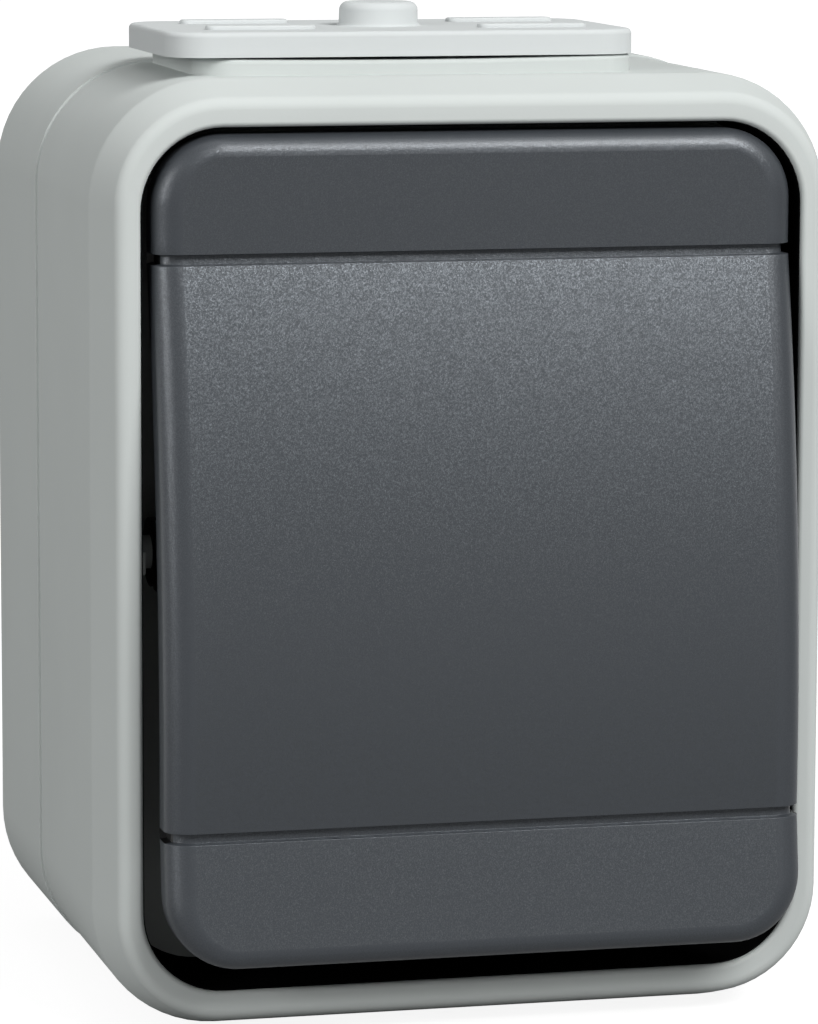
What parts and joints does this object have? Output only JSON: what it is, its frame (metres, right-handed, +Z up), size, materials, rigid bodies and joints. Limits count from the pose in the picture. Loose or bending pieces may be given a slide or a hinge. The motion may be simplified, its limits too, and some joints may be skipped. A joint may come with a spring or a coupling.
{
  "type": "pushbutton switch",
  "caption": "Surface-mounted splash-proof light pushbutton: light-grey wall box, sprung tilting dark-grey rocker plate and a soft cable-entry plate on top.",
  "frame": {"origin": "centre of the wall face of the base", "axes": "+Y into the wall, +Z up, +X to the right as seen from the front"},
  "size_m": [0.066, 0.057, 0.088],
  "materials": {
    "housing_grey": "fine satin",
    "entry_plate": "soft matt",
    "rocker_grey": "satin with fine metallic fleck",
    "black_rubber": "matt",
    "insert_plastic": "matt",
    "contact_brass": "stamped",
    "contact_silver": "silvered",
    "plated_steel": "zinc plated"
  },
  "bodies": {
    "housing": {"base_box": "housing_grey", "front_cover": "housing_grey", "cable_entry_plate": "entry_plate", "housing_gasket": "black_rubber", "splash_seal": "black_rubber", "insert_lid": "insert_plastic", "insert_body": "insert_plastic", "return_spring": "plated_steel", "fixed_contact_left": "contact_brass", "fixed_contact_right": "contact_brass", "fixed_contact_tips": "contact_silver", "terminal_clamp_left": "plated_steel", "terminal_clamp_right": "plated_steel", "terminal_screws": "plated_steel", "insert_screws": "plated_steel", "cover_screws": "plated_steel", "wall_hole_seals": "black_rubber"},
    "rocker": {"rocker": "rocker_grey"},
    "plunger": {"plunger": "insert_plastic", "contact_bridge": "contact_brass", "bridge_contacts": "contact_silver", "bridge_spring": "plated_steel"}
  },
  "joints": [
    {"name": "rocker_tilt", "type": "hinge", "parent": "housing", "child": "rocker", "pos_m": [0, -0.0414, 0], "axis": [1, 0, 0], "range_deg": [0, 10], "stiffness_Nm_per_rad": 0.3, "springref_deg": -8.59},
    {"name": "plunger_slide", "type": "slide", "parent": "housing", "child": "plunger", "axis": [0, 1, 0], "range_m": [0, 0.0021], "deforming": ["return_spring"]}
  ],
  "couplings": [
    {"joint": "plunger_slide", "follows": "rocker_tilt", "m_per_rad": 0.011782}
  ]
}
